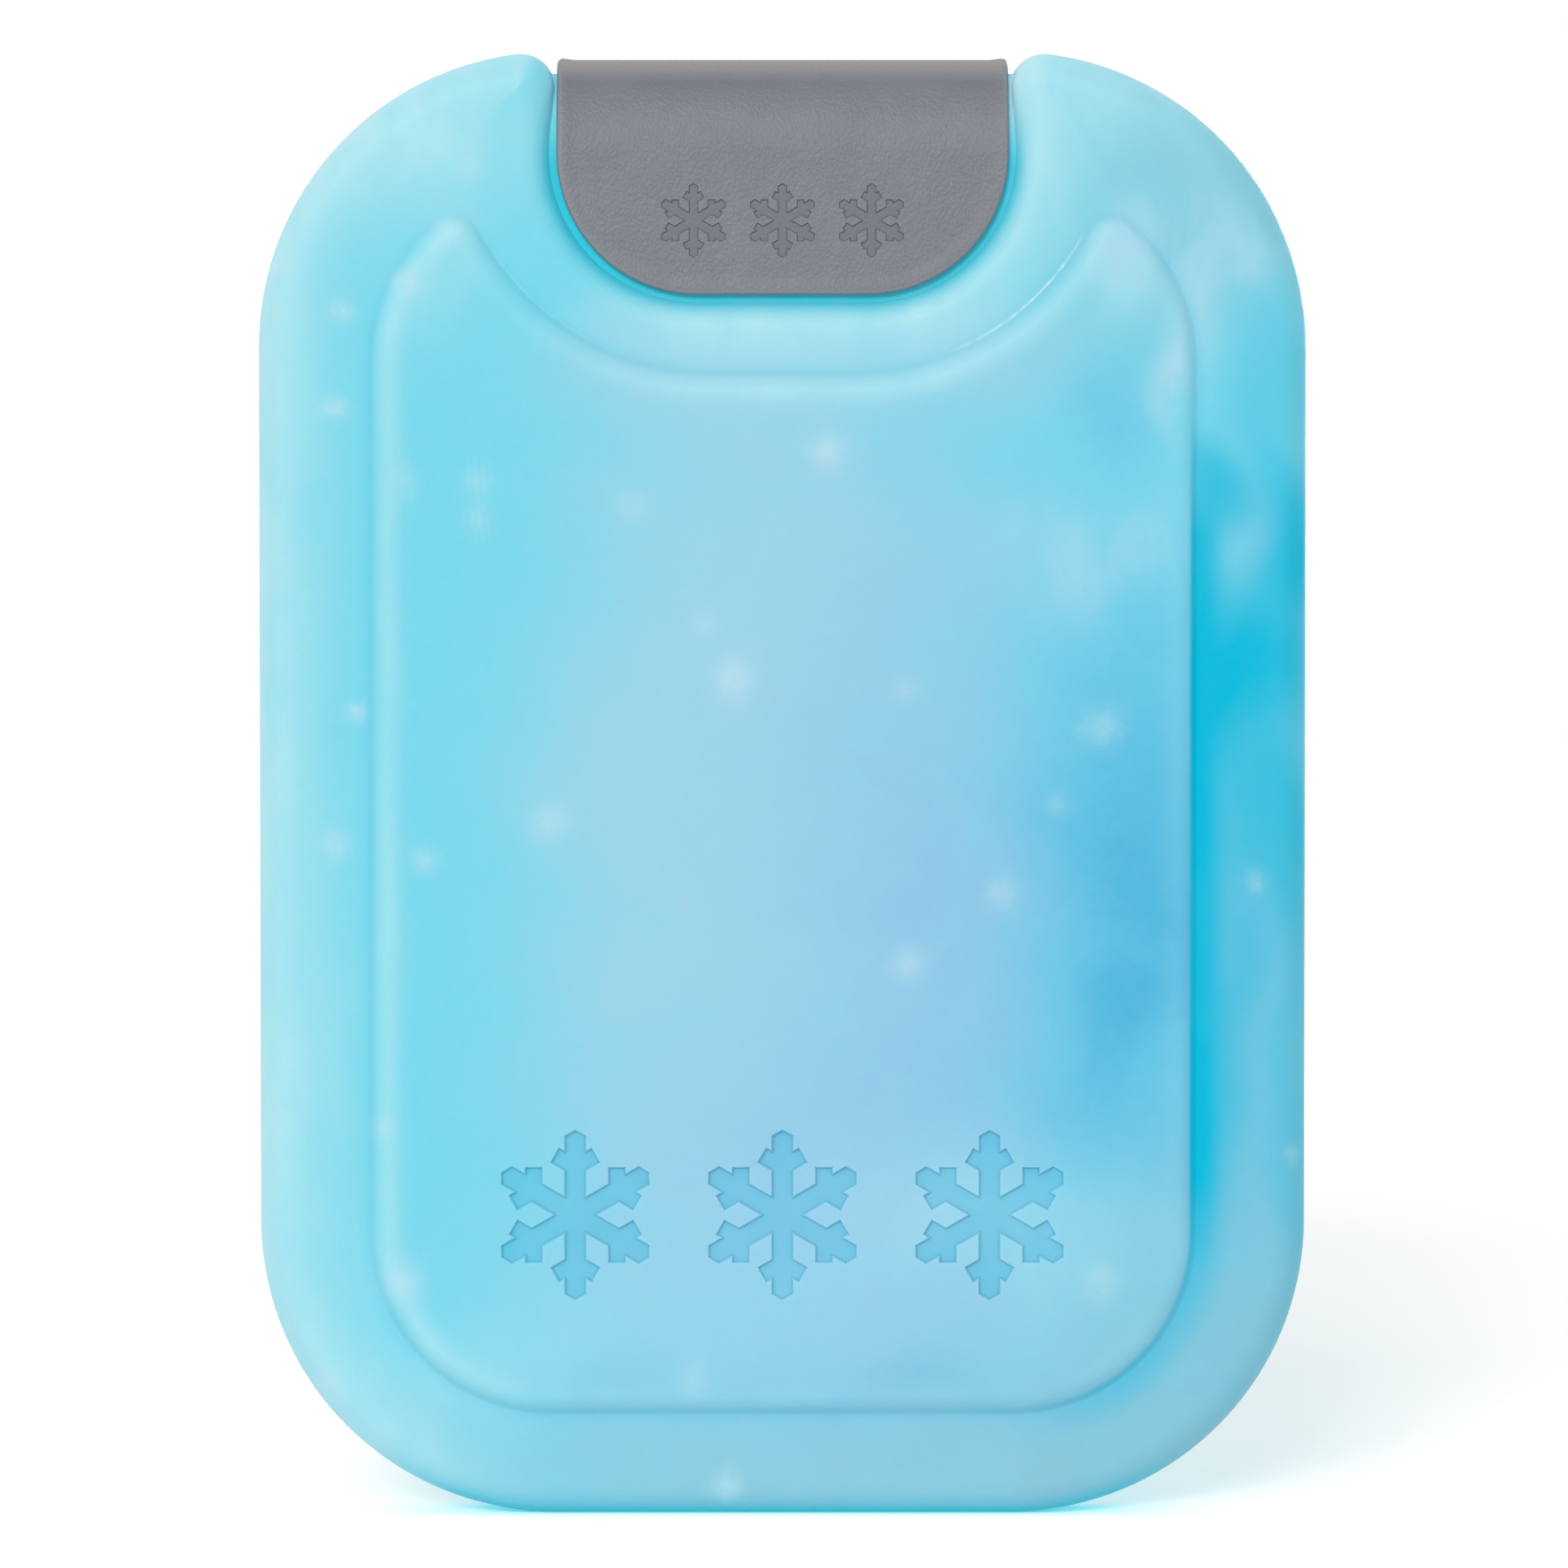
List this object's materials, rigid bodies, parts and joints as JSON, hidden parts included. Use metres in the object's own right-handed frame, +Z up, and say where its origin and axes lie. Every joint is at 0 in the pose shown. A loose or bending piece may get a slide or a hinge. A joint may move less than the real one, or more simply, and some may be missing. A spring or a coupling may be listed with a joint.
{
  "type": "reusable ice pack",
  "caption": "Thin upright reusable ice pack: rounded sealed shell with raised panels on both faces and a soft grey pull strap folded over the top.",
  "frame": {"origin": "middle of the flat lower edge that the pack stands on", "axes": "+Z up the pack's height, +X across its width, +Y through its thickness towards the back, so the front faces -Y"},
  "size_m": [0.142, 0.018, 0.198],
  "materials": {
    "shell": "moulded satin, translucent, the frozen filling showing through",
    "plug": "moulded satin",
    "strap": "soft moulded rubber with a fine leather grain"
  },
  "bodies": {
    "root": {"pack_body": "shell", "fill_plug": "plug", "pull_strap": "strap"}
  },
  "joints": []
}
